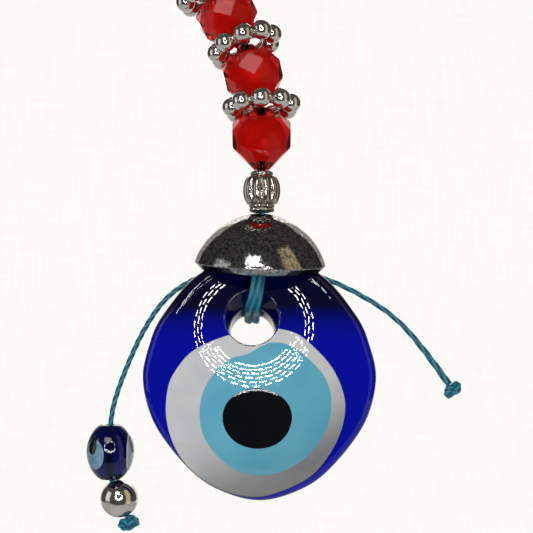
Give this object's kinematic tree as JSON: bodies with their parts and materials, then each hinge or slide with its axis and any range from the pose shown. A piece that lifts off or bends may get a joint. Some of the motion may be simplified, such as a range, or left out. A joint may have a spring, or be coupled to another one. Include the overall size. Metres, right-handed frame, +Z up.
{
  "type": "evil eye ornament",
  "caption": "Hanging evil eye charm: cobalt glass eye pendant under a metal cap, on a beaded strand with side cords.",
  "frame": {"origin": "inner top of the hanging loop, where a hook or nail carries it", "axes": "+Z up along the hanging ornament, the eye faces -Y, +X to the viewer's right"},
  "size_m": [0.0602, 0.0208, 0.1331],
  "materials": {
    "teal_cord": "waxed twisted polyester cord",
    "polished_metal": "polished nickel plate",
    "dark_metal": "dark nickel plate",
    "clear_red": "transparent deep red acrylic",
    "solid_red": "opaque red acrylic",
    "cobalt_glass": "transparent cobalt glass",
    "white_glass": "opaque white glass",
    "light_blue_glass": "opaque light blue glass",
    "black_glass": "near-black navy glass"
  },
  "bodies": {
    "hanger": {"hanging_loop": "teal_cord", "loop_knot": "teal_cord"},
    "link_4": {"core_cord_4": "teal_cord"},
    "fluted_top": {"fluted_bead_top": "dark_metal"},
    "red_4": {"red_shell_4": "clear_red", "red_core_4": "solid_red"},
    "link_3": {"core_cord_3": "teal_cord"},
    "spacer_3": {"daisy_spacer_3": "polished_metal"},
    "red_3": {"red_shell_3": "clear_red", "red_core_3": "solid_red"},
    "link_2": {"core_cord_2": "teal_cord"},
    "spacer_2": {"daisy_spacer_2": "polished_metal"},
    "red_2": {"red_shell_2": "clear_red", "red_core_2": "solid_red"},
    "link_1": {"core_cord_1": "teal_cord", "cap_knot": "teal_cord"},
    "spacer_1": {"daisy_spacer_1": "polished_metal"},
    "red_1": {"red_shell_1": "clear_red", "red_core_1": "solid_red"},
    "fluted_bottom": {"fluted_bead_bottom": "dark_metal"},
    "cap": {"cap": "polished_metal"},
    "pendant": {"glass_disc": "cobalt_glass", "eye_white": "white_glass", "eye_light_blue": "light_blue_glass", "eye_pupil": "black_glass", "pendant_cord_left": "teal_cord", "pendant_cord_right": "teal_cord", "left_cord_root": "teal_cord", "right_cord_root": "teal_cord"},
    "left_side": {"left_cord": "teal_cord", "left_bead_cord": "teal_cord", "left_ball_cord": "teal_cord", "left_end_knot": "teal_cord"},
    "eye_bead": {"left_eye_bead": "cobalt_glass", "left_bead_iris": "light_blue_glass", "left_bead_pupil": "black_glass"},
    "silver_ball": {"left_silver_ball": "polished_metal"},
    "right_side": {"right_cord": "teal_cord", "right_end_knot": "teal_cord"}
  },
  "joints": [
    {"name": "knot_swing", "type": "hinge", "parent": "hanger", "child": "link_4", "pos_m": [0, 0, -0.02743], "axis": [1, 0, 0], "range_deg": [-20, 20]},
    {"name": "fluted_top_spin", "type": "hinge", "parent": "link_4", "child": "fluted_top", "pos_m": [0.00102, 0.00004, -0.03231], "axis": [-0.2924, -0.0105, 0.9563], "continuous": true},
    {"name": "red_4_spin", "type": "hinge", "parent": "link_4", "child": "red_4", "pos_m": [0.00351, 0.00013, -0.04043], "axis": [-0.2924, -0.0105, 0.9563], "continuous": true},
    {"name": "strand_bend_3", "type": "hinge", "parent": "link_4", "child": "link_3", "pos_m": [0.00503, 0.00018, -0.04541], "axis": [0, 1, 0], "range_deg": [-3, 8]},
    {"name": "spacer_3_spin", "type": "hinge", "parent": "link_3", "child": "spacer_3", "pos_m": [0.00503, 0.00018, -0.04541], "axis": [-0.4174, 0.1564, 0.8951], "continuous": true},
    {"name": "red_3_spin", "type": "hinge", "parent": "link_3", "child": "red_3", "pos_m": [0.00754, -0.0006, -0.04966], "axis": [-0.5013, 0.1564, 0.851], "continuous": true},
    {"name": "strand_bend_2", "type": "hinge", "parent": "link_3", "child": "link_2", "pos_m": [0.01029, -0.00146, -0.05434], "axis": [0, 1, 0], "range_deg": [-8, 3]},
    {"name": "spacer_2_spin", "type": "hinge", "parent": "link_2", "child": "spacer_2", "pos_m": [0.01029, -0.00146, -0.05434], "axis": [-0.3358, 0.284, 0.8981], "continuous": true},
    {"name": "red_2_spin", "type": "hinge", "parent": "link_2", "child": "red_2", "pos_m": [0.01157, -0.00233, -0.0591], "axis": [-0.2549, 0.1736, 0.9513], "continuous": true},
    {"name": "strand_bend_1", "type": "hinge", "parent": "link_2", "child": "link_1", "pos_m": [0.01297, -0.00329, -0.06433], "axis": [0, 1, 0], "range_deg": [-8, 3]},
    {"name": "spacer_1_spin", "type": "hinge", "parent": "link_1", "child": "spacer_1", "pos_m": [0.01297, -0.00329, -0.06433], "axis": [-0.0682, 0.2079, 0.9758], "continuous": true},
    {"name": "red_1_spin", "type": "hinge", "parent": "link_1", "child": "red_1", "pos_m": [0.01299, -0.00363, -0.06932], "axis": [-0.0035, 0.0698, 0.9976], "continuous": true},
    {"name": "fluted_bottom_spin", "type": "hinge", "parent": "link_1", "child": "fluted_bottom", "pos_m": [0.01302, -0.00423, -0.0779], "axis": [-0.0035, 0.0698, 0.9976], "continuous": true},
    {"name": "cap_spin", "type": "hinge", "parent": "link_1", "child": "cap", "pos_m": [0.01303, -0.00449, -0.08155], "axis": [0.0348, -0.0872, 0.9956], "continuous": true},
    {"name": "pendant_swing", "type": "hinge", "parent": "link_1", "child": "pendant", "pos_m": [0.01304, -0.00464, -0.08372], "axis": [1, 0, 0], "range_deg": [0, 6]},
    {"name": "left_cord_swing", "type": "hinge", "parent": "pendant", "child": "left_side", "pos_m": [0.0052, -0.0014, -0.0906], "axis": [0, 1, 0], "range_deg": [-4, 20]},
    {"name": "eye_bead_spin", "type": "hinge", "parent": "left_side", "child": "eye_bead", "pos_m": [-0.0112, -0.0031, -0.11945], "axis": [0, 0, 1], "continuous": true},
    {"name": "silver_ball_spin", "type": "hinge", "parent": "left_side", "child": "silver_ball", "pos_m": [-0.00975, -0.0031, -0.12692], "axis": [-0.3811, 0, 0.9245], "continuous": true},
    {"name": "right_cord_swing", "type": "hinge", "parent": "pendant", "child": "right_side", "pos_m": [0.0186, -0.0014, -0.0904], "axis": [0, 1, 0], "range_deg": [-5, 8]}
  ]
}
